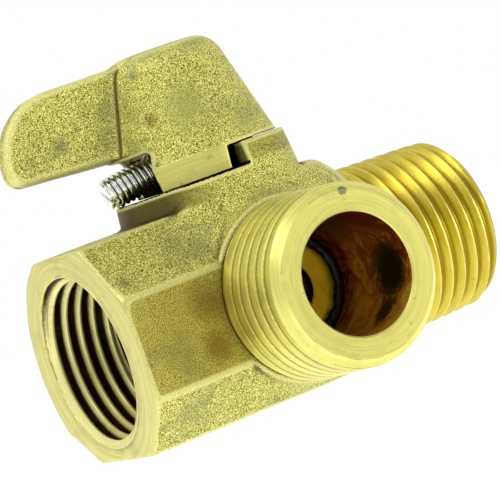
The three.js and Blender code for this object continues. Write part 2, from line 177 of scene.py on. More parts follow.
# meshes
BODY_STEP = 0.30
HANDLE_STEP = 0.17
CAST_MARGIN = 0.3
THREAD_COLUMNS = 160
SCREW_COLUMNS = 72
SHARP = math.radians(32)
SETTLING_ROUNDS = 3
SETTLING_REACH = 0.02
EDGE_REACH = 0.45
SLOPE_REACH = 0.05
WAVE_SIZE, WAVE_HEIGHT, WAVE_LIMIT = 3.0, 0.03, 0.8

# camera and light: lamps are shares of right, up and back, then size and power
CAMERA_TURNS = (-27.895, 2.271, 19.86)  # azimuth, elevation and roll in degrees
CAMERA_DISTANCE = 329.71
CAMERA_AIM = (0.249, 5.832)
CAMERA_LENS = 205.41
CAMERA_REACH = 20  # metres
LAMP_DISTANCE = 420
LAMPS = {
    "key": ((-0.9, 0.75, 0.55), 160, 0.45),
    "side": ((1.0, 0.3, 0.35), 140, 0.3),
    "low": ((-0.5, -0.9, 0.5), 160, 0.25),
}
TENT_FROM, TENT = -0.2, (0.82, 0.62)
FLOOR_GLOW = 0.35
FLOOR_HALF, FLOOR_DROP = 1500, 60


# ---- shapes as signed distances ----
def round_cut(a, b, radius):
    """What two shapes share, with the edge between them rounded."""
    over = np.hypot(np.maximum(radius + a, 0), np.maximum(radius + b, 0))
    return np.minimum(-radius, np.maximum(a, b)) + over


def round_join(a, b, radius):
    """Two shapes joined, with a fillet between them."""
    return -round_cut(-a, -b, radius)


def octagon(x, y, z):
    """Section of the barrel: six equal flats, a top and a bottom closer in, worn back corners."""
    slanting = (np.abs(y) + np.abs(z)) / math.sqrt(2) - HALF_FLATS
    sides = round_cut(np.abs(y) - HALF_FLATS, slanting, EDGE_ROUNDING)
    top = BODY_TOP_Z + SHOULDER_TOP * np.clip((x - SHOULDER_X[0]) / SHOULDER_TOP_RUN, 0, 1)
    ends = np.maximum(z - top, BODY_BOTTOM_Z - z)
    for bearing, reach in BACK_CORNERS:
        worn = y * math.cos(bearing) + z * math.sin(bearing) - reach - BACK_CORNER_SLOPE * (x - FACE_X)
        sides = round_cut(sides, worn, EDGE_ROUNDING)
    return round_cut(sides, ends, EDGE_ROUNDING)


def female_chamfer(x, y, z):
    """The cone turned on the corners of the female end, a little off the casting's middle."""
    radius = np.hypot(y - FACE_CHAMFER_MIDDLE[0], z - FACE_CHAMFER_MIDDLE[1])
    across = (radius - FACE_CHAMFER_R) * math.sin(FACE_CHAMFER_SLOPE)
    return (FACE_X - x) * math.cos(FACE_CHAMFER_SLOPE) + across


def cone_between(x, radius, first, last):
    """Distance from the cone through two (x, radius) points, negative inside."""
    run = last[0] - first[0]
    drop = first[1] - last[1]
    length = math.hypot(run, drop)
    return ((x - first[0]) * drop + (radius - first[1]) * run) / length


def barrel(x, y, z):
    """The octagonal barrel, turned at its female end and at the shoulder."""
    radius = np.hypot(y, z)
    end = round_cut(FACE_X - x, female_chamfer(x, y, z), FACE_ROUNDING)
    points = list(zip(SHOULDER_X, SHOULDER_R))
    upper = cone_between(x, radius, points[0], points[1])
    lower = cone_between(x, radius, points[1], points[2])
    shoulder = round_cut(upper, lower, SHOULDER_ROUNDING)
    shoulder = round_cut(shoulder, x - SHOULDER_X[2], SHOULDER_END_ROUNDING)
    return round_cut(round_cut(octagon(x, y, z), end, CHAMFER_ROUNDING), shoulder, BARREL_ROUNDING)


def black_ridge(x, y):
    """Height of a low ridge at the rim of the deck under the set screw, painted black with the deck as
    shade.
    """
    radius = np.hypot(x, y)
    across = np.clip((radius - RIDGE_FROM_R) / RIDGE_RISE, 0, 1)
    along = np.clip((x - RIDGE_FROM_X) / -RIDGE_RUN, 0, 1)
    return RIDGE_HEIGHT * across * along


def collar(x, y, z):
    """The round deck under the handle and the raised sector that stops it."""
    radius = np.hypot(x, y)
    side = (radius - COLLAR_R + (z - DECK_Z) * COLLAR_DRAFT) * math.cos(COLLAR_DRAFT)
    first = x * math.sin(STOP_FROM) - y * math.cos(STOP_FROM)
    last = -x * math.sin(STOP_TO) + y * math.cos(STOP_TO)
    stop = np.maximum(np.maximum(first, last), STOP_INNER_R - radius)
    stop = round_cut(stop, z - STOP_TOP_Z, STOP_ROUNDING)
    deck = z - DECK_Z - black_ridge(x, y)
    return round_cut(side, np.minimum(deck, stop), COLLAR_ROUNDING)


def collar_fillet(y):
    """The collar meets the top flat in a crease and flows into the flats beside it."""
    near, far = COLLAR_FILLET_FROM_Y
    crease, flow = COLLAR_FILLET
    share = np.clip((np.abs(y) - near) / (far - near), 0, 1)
    return crease + (flow - crease) * share * share * (3 - 2 * share)


def hole(radius, size, along, middle, half_length):
    """A round hole of that size, at a place along its axis."""
    return np.maximum(radius - size, np.abs(along - middle) - half_length)


def casting(x, y, z):
    """The body without its threads, hollow for what sits inside it."""
    run_radius = np.hypot(y, z)
    branch_radius = np.hypot(x, z)
    stem_radius = np.hypot(x, y)
    boss = np.maximum(round_cut(branch_radius - BOSS_R, -BOSS_END - y, BOSS_ROUNDING), y)
    boss_fillet = np.clip((y + HALF_FLATS) * BOSS_FILLET_GROWTH, *BOSS_FILLET)
    shape = round_join(barrel(x, y, z), boss, boss_fillet)
    shape = round_join(shape, np.maximum(collar(x, y, z), -z), collar_fillet(y))
    shape = np.maximum(shape, np.maximum(np.abs(y) - HALF_FLATS, BODY_BOTTOM_Z - z))
    hollows = [
        np.maximum(run_radius - MOUTH_R - MOUTH_GAP, x - FACE_X - MOUTH_DEPTH),
        hole(run_radius, FEMALE_POCKET_R, x, (FACE_X + FEMALE_END_X) / 2, FEMALE_POCKET_HALF),
        hole(run_radius, RETAINER_BORE_R, x, *RETAINER_BORE_X),
        hole(run_radius, CHAMBER_R, x, 0, CHAMBER_R),
        hole(run_radius, SEAT_PORT_R, x, *SEAT_PORT_X),
        np.maximum(run_radius - RUN_POCKET_R, RUN_POCKET_X - x),
        hole(run_radius, BORE_R, x, *RUN_BORE_X),
        np.maximum(branch_radius - BRANCH_POCKET_R, y + BRANCH_POCKET),
        hole(branch_radius, WEB_CUT_R, y, *WEB_CUT_Y),
        np.maximum(stem_radius - STEM_BORE_R, -z),
        hole(stem_radius, STEM_SEAT_R, z, *STEM_SEAT_Z),
    ]
    for hollow in hollows:
        shape = np.maximum(shape, -hollow)
    return shape


def hub(x, y, z):
    """The cone of the handle, and the two lugs and round core below it."""
    radius = np.hypot(x, y)
    side = (radius - HUB_SKIRT_R + (z - HUB_TAPER_Z) * HUB_SLOPE) * math.cos(HUB_SLOPE)
    cone = round_cut(side, z - HUB_TOP_Z, HUB_ROUNDING)
    cone = np.maximum(cone, HUB_CAST_Z - z)
    bearing = np.arctan2(y, -x)
    lean = LUG_LEAN * (z - (HUB_BOTTOM_Z + HUB_CAST_Z) / 2)
    past_end = np.where(y > 0, bearing - LUG_REACH[0], -bearing - LUG_REACH[1] - lean)
    past_end = np.minimum(past_end, 1.5)
    lug = round_cut(radius - HUB_SKIRT_R, radius * np.sin(past_end), LUG_ROUNDING)
    lower = np.minimum(lug, radius - HUB_CORE_R)
    lower = np.maximum(lower, np.maximum(z - HUB_CAST_Z - LUG_OVERLAP, HUB_BOTTOM_Z - z))
    return np.minimum(cone, lower)


def blade(x, y, z):
    """The flat blade, whose lower edge rises towards its rounded tip."""
    root, tip = BLADE_BOTTOM_Z
    slope = (tip - root) / BLADE_TIP_X
    bottom = root + x * slope - z
    outline = round_cut(z - BLADE_TOP_Z, BLADE_TIP_X - x, BLADE_TIP_UPPER_R)
    outline = round_cut(outline, bottom, BLADE_TIP_LOWER_R)
    return np.maximum(round_cut(outline, np.abs(y) - BLADE_HALF, BLADE_EDGE), x)


def pad_clearance(x, y, z):
    """What is cut away under the blade, to leave the flat pad that the set screw goes into."""
    far = round_cut(y - PAD_REACH[0], z - PAD_TOP_Z, PAD_CORNER_R[0])
    reach = PAD_REACH[1] - (z - HUB_BOTTOM_Z) * PAD_NEAR_LEAN
    near = round_cut(-y - reach, z - PAD_TOP_Z, PAD_CORNER_R[1])
    return np.maximum(np.where(y > 0, far, near), x - PAD_X)


def screw_distance(x, y, z):
    """How far a point is from the axis of the set screw."""
    lift = (z - SCREW_TIP[1]) * math.cos(SCREW_TILT) - (x - SCREW_TIP[0]) * math.sin(SCREW_TILT)
    return np.hypot(lift, y)


def handle_shape(x, y, z):
    """The handle with its blade along -X."""
    shape = round_join(hub(x, y, z), blade(x, y, z), BLADE_FILLET)
    rise = 1 / (1 + np.exp(-(x - TOP_STEP_X) * TOP_STEP_STEEPNESS))
    top = z - BLADE_TOP_Z - (HUB_TOP_Z - BLADE_TOP_Z) * rise
    shape = round_cut(shape, top, TOP_ROUNDING)
    shape = round_cut(shape, -pad_clearance(x, y, z), PAD_ROUNDING)
    screw_hole = np.maximum(screw_distance(x, y, z) - SCREW_R - SCREW_HOLE_GAP, x)
    stem_hole = np.maximum(np.hypot(x, y) - STEM_HOLE_R, z - STEM_HOLE_TOP_Z)
    return np.maximum(np.maximum(shape, -screw_hole), -stem_hole)


# ---- meshes ----
def gradient(field, points, reach):
    """Slope of a field at each point, from its values that far to either side."""
    steps = np.eye(3, dtype=np.float32) * reach
    return np.stack(
        [(field(*(points + s).T) - field(*(points - s).T)) / (2 * reach) for s in steps], axis=1
    )


def surface_net(field, low, high, step):
    """Vertices and quads round the zero of a field: one vertex in each cell that it crosses."""
    axes = [
        np.arange(a - 1.5 * step, b + 2.5 * step, step, dtype=np.float32) for a, b in zip(low, high)
    ]
    values = field(*np.meshgrid(*axes, indexing="ij", sparse=True)).astype(np.float32)
    inside = values < 0
    cells = tuple(n - 1 for n in values.shape)
    corners = [(i, j, k) for i in (0, 1) for j in (0, 1) for k in (0, 1)]
    count = sum(
        inside[i : i + cells[0], j : j + cells[1], k : k + cells[2]].astype(np.int8)
        for i, j, k in corners
    )
    active = np.argwhere((count > 0) & (count < 8))
    number = np.full(cells, -1, dtype=np.int32)
    number[tuple(active.T)] = np.arange(len(active))
    at_corner = {c: values[tuple((active + c).T)] for c in corners}
    total = np.zeros((len(active), 3))
    hits = np.zeros(len(active))
    for first in corners:
        for axis in range(3):
            if first[axis]:
                continue
            second = tuple(1 if n == axis else first[n] for n in range(3))
            a, b = at_corner[first], at_corner[second]
            crossed = (a < 0) != (b < 0)
            share = np.where(crossed, a / np.where(crossed, a - b, 1), 0)
            point = np.tile(np.array(first, float), (len(active), 1))
            point[:, axis] += share
            total += point * crossed[:, None]
            hits += crossed
    origin = np.array([a[0] for a in axes])
    points = origin + (active + total / hits[:, None]) * step
    for _ in range(SETTLING_ROUNDS):
        slope = gradient(field, points, SETTLING_REACH)
        size = np.maximum((slope**2).sum(1), 0.25)
        move = (field(*points.T) / size)[:, None] * slope
        points -= np.clip(move, -0.4 * step, 0.4 * step)
    quads = []
    for axis in range(3):
        u, v = (axis + 1) % 3, (axis + 2) % 3
        here = np.moveaxis(inside, axis, 0)
        change = np.moveaxis(here[:-1] != here[1:], 0, axis)
        at = np.argwhere(change)
        at = at[(at[:, u] > 0) & (at[:, v] > 0)]
        at = at[(at[:, u] < cells[u]) & (at[:, v] < cells[v])]
        ring = []
        for du, dv in ((-1, -1), (0, -1), (0, 0), (-1, 0)):
            cell = at.copy()
            cell[:, u] += du
            cell[:, v] += dv
            ring.append(number[tuple(cell.T)])
        ring = np.stack(ring, axis=1)
        outward = inside[tuple(at.T)]
        ring[~outward] = ring[~outward][:, ::-1]
        quads.append(ring)
    return points, np.concatenate(quads)


def mesh_object(name, points, faces):
    """A smooth-shaded object from points in millimetres."""
    mesh = bpy.data.meshes.new(name)
    mesh.from_pydata((np.asarray(points) * MM).tolist(), [], [list(map(int, f)) for f in faces])
    mesh.validate()
    mesh.shade_smooth()
    piece = bpy.data.objects.new(name, mesh)
    bpy.context.collection.objects.link(piece)
    return piece


def turn_about_z(points, angle):
    c, s = math.cos(angle), math.sin(angle)
    return points @ np.array([[c, s, 0], [-s, c, 0], [0, 0, 1]])


def attribute(piece, name, values):
    """Stores a number for each vertex, for the materials to read."""
    layer = piece.data.attributes.new(name, "FLOAT", "POINT")
    layer.data.foreach_set("value", np.asarray(values, dtype=np.float32))


def bend(field, points, reach):
    """How sharply a surface bends at each point: positive on an edge, negative in a fold."""
    around = -6 * field(*points.T)
    for step in np.eye(3) * reach:
        around = around + field(*(points + step).T) + field(*(points - step).T)
    return around / reach


def waviness(points, size, amount):
    """Uneven surface of a casting, inwards only."""
    heights = [noise.noise(Vector(p) / size) for p in points]
    return amount * (np.clip(heights, -WAVE_LIMIT, WAVE_LIMIT) - WAVE_LIMIT)


def body_shade_faces(points):
    """True on the deck under the handle, and on the stop's inner wall and its top: the faces painted
    black as shade.
    """
    skin, ridge_height, rim, stop_width = 0.06, 0.25, 0.1, 2.2
    x, y, z = points.T
    radius = np.hypot(x, y)
    deck = (z > DECK_Z - skin) & (z < DECK_Z + ridge_height) & (radius < COLLAR_R - rim)
    wall = (z > DECK_Z) & (z < STOP_TOP_Z) & (radius < COLLAR_R - stop_width)
    top = (z > STOP_TOP_Z - skin) & (radius < HUB_SKIRT_R + 0.25)
    return deck | wall | top


def handle_shade_faces(points):
    """True under the hub, where it turns on the deck, and on the pad behind the screw: the faces
    painted black as shade.
    """
    skin, rim, lug_width, border = 0.12, 0.25, 1.2, 0.3
    x, y, z = points.T
    radius = np.hypot(x, y)
    below = z < HUB_BOTTOM_Z + skin
    step = (np.abs(z - HUB_CAST_Z) < skin) & (radius < HUB_SKIRT_R - rim)
    core = (z < HUB_CAST_Z + 0.1) & (radius < HUB_SKIRT_R - lug_width) & (x > PAD_X + 0.2)
    pad = (x > PAD_X - 0.15) & (x < PAD_X + border) & (z < PAD_TOP_Z - border)
    pad &= np.abs(y) < PAD_REACH[1] - border
    return below | step | core | pad


def fading(distance, reach, strength):
    """That strength where the distance is 0, one less for each reach, and kept within 0 and 1."""
    return np.clip(strength - distance / reach, 0, 1)


def body_painted_shade(points):
    """Painted shade on the collar: in its crease with the top flat, on its left side and on the stop
    under the handle, and round the root of the branch.
    """
    x, y, z = points.T
    shade_depth, stop_depth, rim_z = 0.68, 0.45, DECK_Z + 0.1
    beside = (np.abs(np.hypot(x, y) - COLLAR_R) < 1.2) * (np.abs(y) < 8) * (x < 0)
    crease = fading(np.abs(z - BODY_TOP_Z), 0.3, 1.3) * beside
    shade = np.clip(-x / 9, 0, 1) * (z > BODY_TOP_Z) * (z < rim_z) * shade_depth
    stop = stop_depth * (z > rim_z)
    root = fading(np.hypot(x, z) - NECK_R, 0.25, 1.3) * (y < -BOSS_END + 0.5)
    return np.maximum(np.maximum(crease, shade), np.maximum(root, stop))


def handle_painted_shade(points):
    """Painted shade along the lower edge of the blade and in the corner where it meets the hub."""
    x, y, z = points.T
    root, tip = BLADE_BOTTOM_Z
    above = z - root - x * (tip - root) / BLADE_TIP_X
    edge = fading(above, 0.45, 1.25) * np.clip((PAD_X - 0.2 - x) / 1.5, 0, 1)
    apart = np.maximum(np.abs(hub(x, y, z)), np.abs(blade(x, y, z)))
    fold = fading(apart, 0.5, 1.5) * (np.abs(y) > BLADE_HALF * 0.7) * (x < PAD_X)
    return np.maximum(edge, fold)


def paint_faces(piece, points, quads, finishes, choose):
    """Gives each face the finish whose number choose(middles) says."""
    for finish in finishes:
        piece.data.materials.append(finish)
    numbers = choose(points[quads].mean(axis=1)).astype(np.int32)
    piece.data.polygons.foreach_set("material_index", numbers)


def cast_piece(name, field, painted_shade, low, high, step, turn=0.0):
    """A casting's mesh, slightly wavy, that knows where its edges are and where its painted shade
    goes.
    """
    points, quads = surface_net(field, low, high, step)
    edge = bend(field, points, EDGE_REACH)
    slope = gradient(field, points, SLOPE_REACH)
    slope /= np.maximum(np.linalg.norm(slope, axis=1), 0.1)[:, None]
    points += slope * waviness(points, WAVE_SIZE, WAVE_HEIGHT)[:, None]
    piece = mesh_object(name, turn_about_z(points, turn), quads)
    attribute(piece, "edge", edge)
    attribute(piece, "painted_shade", painted_shade(points))
    return piece, points, quads


# ---- threads ----
# places of the rows of vertices between two crests, in turns: closer where the surface bends
ROWS_PER_PITCH = (-0.5, -0.45, -0.40, -0.25, -0.10, -0.05, 0.0, 0.05, 0.10, 0.25, 0.40, 0.45)


def ridge(turns, crest_width, root_width):
    """1 on a thread's crest and 0 at its root, for a place counted in turns."""
    off = np.abs(turns - np.round(turns))
    return np.clip((0.5 - root_width - off) / (0.5 - root_width - crest_width), 0, 1)


def thread_shell(name, place, before, after, start, end, pitch, crest_at, radius_at, columns):
    """A closed shell with a helical thread from start to end along its axis.

    before and after are the (height, radius) points that lead from the hidden inside to the thread
    and back again; radius_at(height, turns) gives the thread's surface.
    """
    angles = np.arange(columns) * 2 * math.pi / columns
    rows = len(ROWS_PER_PITCH)
    pitches = math.ceil((end - start) / pitch) + 3
    offsets = (np.arange(pitches)[:, None] + np.array(ROWS_PER_PITCH)).reshape(-1)
    base = crest_at + pitch * (math.floor((start - crest_at) / pitch) - 1)
    heights = base + pitch * (offsets[None, :] + angles[:, None] / (2 * math.pi))
    heights = np.clip(heights, start, end)
    turns = (heights - crest_at) / pitch - angles[:, None] / (2 * math.pi)
    radii = radius_at(heights, turns)
    lead = np.array(before)
    tail = np.array(after)
    ones = np.ones((columns, 1))
    height = np.hstack([ones * lead[:, 0], heights, ones * tail[:, 0]])
    radius = np.hstack([ones * lead[:, 1], radii, ones * tail[:, 1]])
    points = place(height, radius, angles[:, None] + 0 * height).reshape(-1, 3)
    width = height.shape[1]
    first, last = len(before), len(before) + heights.shape[1] - 1

    def wrapped(row):
        return min(row + rows, last) if first <= row <= last else row

    faces = []
    for column in range(columns):
        here = column * width
        for row in range(width):
            after_row = (row + 1) % width
            if column + 1 < columns:
                across = [here + width + after_row, here + width + row]
            else:
                across = [wrapped(after_row), wrapped(row)]
                if row == first - 1:
                    across = [wrapped(first), row]
            faces.append([here + row, here + after_row, *across])
    piece = mesh_object(name, points, faces)
    clean(piece)
    return piece


def clean(piece):
    """Merges coincident vertices, closes what the wrap left open and faces everything outwards."""
    work = bmesh.new()
    work.from_mesh(piece.data)
    bmesh.ops.remove_doubles(work, verts=work.verts, dist=2e-6)
    bmesh.ops.dissolve_degenerate(work, dist=1e-6, edges=work.edges)
    bmesh.ops.recalc_face_normals(work, faces=work.faces)
    work.to_mesh(piece.data)
    work.free()
    piece.data.shade_smooth()
    piece.data.set_sharp_from_angle(angle=SHARP)


def note_depth(piece, depth_of):
    """Stores how far each vertex lies below the crest of its thread, in millimetres."""
    flat = np.zeros(len(piece.data.vertices) * 3, dtype=np.float32)
    piece.data.vertices.foreach_get("co", flat)
    x, y, z = flat.reshape(-1, 3).T / MM
    attribute(piece, "depth", depth_of(x, y, z))


def male_crest(height, end):
    """Radius of a male thread's crest at a height on its axis."""
    return MALE_CREST_R + (end - MALE_CHAMFER_LENGTH - height) * TAPER


# Where a (height, radius, angle) on a thread lies. Heights grow with the angle, so the run's and the
# female thread's helices are right-handed. The branch's is left-handed, unlike the real one.
def along_run(height, radius, angle):
    return np.stack([height, radius * np.cos(angle), radius * np.sin(angle)], axis=-1)


def along_branch(height, radius, angle):
    return np.stack([radius * np.sin(angle), -height, radius * np.cos(angle)], axis=-1)


def into_female(height, radius, angle):
    return np.stack([-height, radius * np.sin(angle), radius * np.cos(angle)], axis=-1)


def male_surface(start, end, crest_width, depth, runout):
    """A male thread that fades in over its runout and ends in a chamfer, as radius_at."""

    def radius_at(height, turns):
        fade = np.clip((height - start) / runout, 0, 1)
        groove = depth * (1 - ridge(turns, crest_width, 0.06)) * fade
        neck = np.clip(1 - (height - start) / 0.5, 0, 1) * (MALE_CREST_R + 0.4 - NECK_R)
        crest = male_crest(height, end)
        slope = (MALE_CREST_R - MALE_CHAMFER_R) / MALE_CHAMFER_LENGTH
        return np.minimum(crest - np.maximum(groove, neck), MALE_CHAMFER_R + (end - height) * slope)

    return radius_at


def run_thread():
    """The run's male end: its thread, its face and the mouth of its bore."""
    start, end = RUN_START_X, RUN_END_X
    shell = thread_shell(
        "run_thread", along_run,
        [(12.0, BORE_R), (12.0, 9.5), (13.0, NECK_R), (start - 0.05, NECK_R)],
        [(end, BORE_R + 0.25), (end - 0.25, BORE_R), (20.0, BORE_R)],
        start, end, PITCH, RUN_CREST_X,
        male_surface(start, end, 0.06, RUN_DEPTH, 2.2), THREAD_COLUMNS,
    )
    note_depth(shell, lambda x, y, z: male_crest(x, end) - np.hypot(y, z))
    return shell


def branch_thread():
    """The branch: its thread, its face, its whole bore and the web at the bottom of it."""
    start, end = BRANCH_START, BRANCH_END
    shell = thread_shell(
        "branch_thread", along_branch,
        [(9.2, WEB_PORT_R), (9.2, 9.3), (12.5, 9.3), (12.6, NECK_R), (start - 0.05, NECK_R)],
        [(end, BORE_R + 0.2), (end - 0.2, BORE_R), (22.0, BORE_R), (18.0, BORE_R), (14.0, BORE_R),
         (WEB + 0.1, BORE_R), (WEB, BORE_R - 0.1), (WEB, 5.2), (WEB, WEB_PORT_R + 0.15),
         (WEB - 0.15, WEB_PORT_R)],
        start, end, PITCH, BRANCH_CREST,
        male_surface(start, end, 0.36, BRANCH_DEPTH, 1.2), THREAD_COLUMNS,
    )

    def depth_of(x, y, z):
        below = male_crest(-y, end) - np.hypot(x, z)
        return np.where(-y < end - MALE_CHAMFER_LENGTH, below, 0)

    note_depth(shell, depth_of)
    return shell


def female_thread():
    """The female thread, and the short cone that opens it at the face."""
    start, end = -FEMALE_END_X, -FACE_X - 0.1

    def radius_at(height, turns):
        fade = np.clip((height - start) / 1.2, 0, 1)
        groove = FEMALE_MINOR_R + FEMALE_DEPTH * (1 - ridge(turns, 0.07, 0.05)) * fade
        return np.maximum(groove, MOUTH_R - MOUTH_SLOPE * (end - height))

    def depth_of(x, y, z):
        """The first turn counts as shallow, so the painted shade in the valleys leaves it out."""
        return (np.hypot(y, z) - FEMALE_MINOR_R) * np.clip((x - FACE_X - 0.1) / 0.5, 0.1, 1)

    shell = thread_shell(
        "female_thread", into_female,
        [(start - 0.1, LINER_R), (start - 0.1, FEMALE_MINOR_R)],
        [(end, MOUTH_R + 0.15), (end - 0.4, MOUTH_R + 0.3), (end - 0.7, LINER_R)],
        start, end, PITCH, -FACE_X - FEMALE_CREST, radius_at, THREAD_COLUMNS,
    )
    note_depth(shell, depth_of)
    return shell


def set_screw():
    """The slotted screw: made along X with its slotted end at the origin, then laid in its hole."""

    def radius_at(height, turns):
        groove = SCREW_DEPTH * (1 - ridge(turns, 0.2, 0.05))
        point = np.minimum(height, SCREW_LENGTH - height)
        return np.minimum(SCREW_R - groove, SCREW_R - SCREW_POINT + point * SCREW_POINT_SLOPE)

    screw = thread_shell(
        "set_screw", along_run,
        [(0.05, 0.02), (0.0, 0.9)],
        [(SCREW_LENGTH, 0.5), (SCREW_LENGTH, 0.02)],
        0.0, SCREW_LENGTH, SCREW_PITCH, 0.2, radius_at, SCREW_COLUMNS,
    )
    cut_slot(screw)
    note_depth(screw, lambda x, y, z: np.where(x > 0.5, SCREW_R - np.hypot(y, z), 0))
    tip = Matrix.Translation(Vector((SCREW_TIP[0], 0, SCREW_TIP[1])) * MM)
    turn = Matrix.Rotation(REST_TURN, 4, "Z")
    screw.data.transform(turn @ tip @ Matrix.Rotation(-SCREW_TILT, 4, "Y"))
    return screw


def cut_slot(screw):
    """Cuts the slot and leaves the screw's flat end sharp."""
    width, depth = SCREW_SLOT
    cutter = mesh_object("slot_cutter", *box_mesh((-1, depth), (-4, 4), (-width / 2, width / 2)))
    cutter.data.transform(Matrix.Rotation(SCREW_SLOT_TURN, 4, "X"))
    cut = screw.modifiers.new("slot", "BOOLEAN")
    cut.operation = "DIFFERENCE"
    cut.solver = "EXACT"
    cut.object = cutter
    bpy.context.view_layer.objects.active = screw
    bpy.ops.object.modifier_apply(modifier=cut.name)
    bpy.data.objects.remove(cutter)
    for face in screw.data.polygons:
        face.use_smooth = abs(face.normal.x) < 0.98


def box_mesh(xs, ys, zs):
    points = [(x, y, z) for x in xs for y in ys for z in zs]
    faces = [(0, 1, 3, 2), (4, 6, 7, 5), (0, 4, 5, 1), (2, 3, 7, 6), (0, 2, 6, 4), (1, 5, 7, 3)]
    return np.array(points), faces


def gasket():
    """The rubber ring at the bottom of the branch bore, squeezed and ragged inside."""
    columns, rows = 140, 16
    low, high = (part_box("branch_gasket")[n] / MM for n in (0, 1))
    middle = -(low.y + high.y) / 2
    half = (high.y - low.y) / 2
    outer = high.x
    points = []
    for column in range(columns):
        angle = 2 * math.pi * column / columns
        around = Vector((math.cos(angle), math.sin(angle), 0))
        ragged = 0.22 * noise.noise(around * 7) + 0.14 * noise.noise(around * 19)
        for row in range(rows):
            turn = 2 * math.pi * row / rows
            inward = max(0.0, -math.cos(turn))
            radius = outer - GASKET_HALF_WIDTH + GASKET_HALF_WIDTH * math.cos(turn)
            radius -= inward * (0.05 + ragged)
            lift = half * math.sin(turn) * (1 + 0.25 * noise.noise(around * 11 + Vector((0, 0, row))))
            lift = max(-half, min(half, lift))
            points.append((radius * math.sin(angle), -middle - lift, radius * math.cos(angle)))
    faces = []
    for column in range(columns):
        for row in range(rows):
            here, beyond = column * rows, (column + 1) % columns * rows
            up = (row + 1) % rows
            faces.append((here + row, here + up, beyond + up, beyond + row))
    piece = mesh_object("gasket_ring", points, faces)
    clean(piece)
    return piece


# ---- materials ----
class Finish:
    """A material under construction, with coordinates in millimetres."""

    def __init__(self, name, metallic, roughness):
        self.material = bpy.data.materials.new(name)
        self.material.use_nodes = True
        self.tree = self.material.node_tree
        self.shader = self.tree.nodes["Principled BSDF"]
        self.shader.inputs["Metallic"].default_value = metallic
        self.shader.inputs["Roughness"].default_value = roughness
        place = self.node("ShaderNodeTexCoord").outputs["Object"]
        scale = self.node("ShaderNodeVectorMath", operation="SCALE")
        scale.inputs["Scale"].default_value = 1 / MM
        self.link(place, scale.inputs[0])
        self.mm = scale.outputs["Vector"]
        split = self.node("ShaderNodeSeparateXYZ")
        self.link(self.mm, split.inputs[0])
        self.x, self.y, self.z = split.outputs

    def node(self, kind, **settings):
        made = self.tree.nodes.new(kind)
        for key, value in settings.items():
            setattr(made, key, value)
        return made

    def link(self, source, target):
        """Feeds a socket from another one, or sets it to a number, a colour or a vector."""
        if isinstance(source, (int, float)):
            target.default_value = source
        elif isinstance(source, tuple):
            target.default_value = (*source, 1) if len(source) == 3 else source
        else:
            self.tree.links.new(source, target)

    def noise(self, scale, detail=2.0, roughness=0.5, at=None, distortion=0.0):
        made = self.node("ShaderNodeTexNoise")
        self.link(at or self.mm, made.inputs["Vector"])
        kinds = ("Scale", "Detail", "Roughness", "Distortion")
        for kind, value in zip(kinds, (scale, detail, roughness, distortion)):
            made.inputs[kind].default_value = value
        return made.outputs["Fac"]

    def math(self, operation, a, b=0.0):
        made = self.node("ShaderNodeMath", operation=operation)
        self.link(a, made.inputs[0])
        self.link(b, made.inputs[1])
        return made.outputs[0]

    def plus(self, a, b, share):
        """a with a share of b added."""
        return self.math("ADD", a, self.math("MULTIPLY", b, share))

    def between(self, value, low, high):
        """0 below low and 1 above high, smooth between."""
        made = self.node("ShaderNodeMapRange", interpolation_type="SMOOTHSTEP")
        self.link(value, made.inputs["Value"])
        made.inputs["From Min"].default_value = low
        made.inputs["From Max"].default_value = high
        return made.outputs["Result"]

    def ramp(self, value, *stops):
        made = self.node("ShaderNodeValToRGB")
        self.link(value, made.inputs["Fac"])
        elements = made.color_ramp.elements
        while len(elements) < len(stops):
            elements.new(0.5)
        for element, (place, colour) in zip(elements, stops):
            element.position = place
            element.color = (*colour, 1)
        return made.outputs["Color"]

    def mix(self, share, a, b):
        made = self.node("ShaderNodeMix", data_type="RGBA")
        self.link(share, made.inputs["Factor"])
        self.link(a, made.inputs["A"])
        self.link(b, made.inputs["B"])
        return made.outputs["Result"]

    def tinted(self, colour, mask, amount, tint):
        """A colour with another laid over it, at most that much, where the mask is 1."""
        return self.mix(self.math("MULTIPLY", mask, amount), colour, tint)

    def attribute(self, name):
        return self.node("ShaderNodeAttribute", attribute_name=name).outputs["Fac"]

    def away_from(self, x, y, z):
        """Distance in millimetres from a point."""
        made = self.node("ShaderNodeVectorMath", operation="DISTANCE")
        self.link(self.mm, made.inputs[0])
        made.inputs[1].default_value = (x, y, z)
        return made.outputs["Value"]

    def around(self, along, u, v, stretch):
        """Coordinates on a turned surface: marks run round the axis, stretched by that much."""
        angle = self.math("ARCTAN2", u, v)
        squares = self.math("ADD", self.math("MULTIPLY", u, u), self.math("MULTIPLY", v, v))
        radius = self.math("SQRT", squares)
        made = self.node("ShaderNodeCombineXYZ")
        self.link(along, made.inputs[0])
        self.link(radius, made.inputs[1])
        self.link(self.math("MULTIPLY", angle, 10.0 / stretch), made.inputs[2])
        return made.outputs[0]

    def bump(self, height, distance, strength):
        """A normal for a height field that is so many millimetres deep."""
        made = self.node("ShaderNodeBump")
        self.link(height, made.inputs["Height"])
        made.inputs["Distance"].default_value = distance * MM
        made.inputs["Strength"].default_value = strength
        return made.outputs["Normal"]

    def finish(self, colour=None, roughness=None, normal=None):
        for socket, value in (("Base Color", colour), ("Roughness", roughness), ("Normal", normal)):
            if value is not None:
                self.link(value, self.shader.inputs[socket])
        return self.material


DARK_GRAIN = (0.11, 0.095, 0.006)
OLIVE = (0.42, 0.395, 0.040)
YELLOW = (0.74, 0.71, 0.125)
PALE = (0.98, 0.96, 0.40)
# stain colours, also used below to paint shade on the collar, beside the branch and in the handle's
# fold
GREEN_STAIN_AND_SHADE = (0.17, 0.20, 0.09)
BROWN_STAIN_AND_SHADE = (0.16, 0.085, 0.008)
# a darker green laid over the front of the hub
DARKER_GREEN = (0.40, 0.42, 0.11)
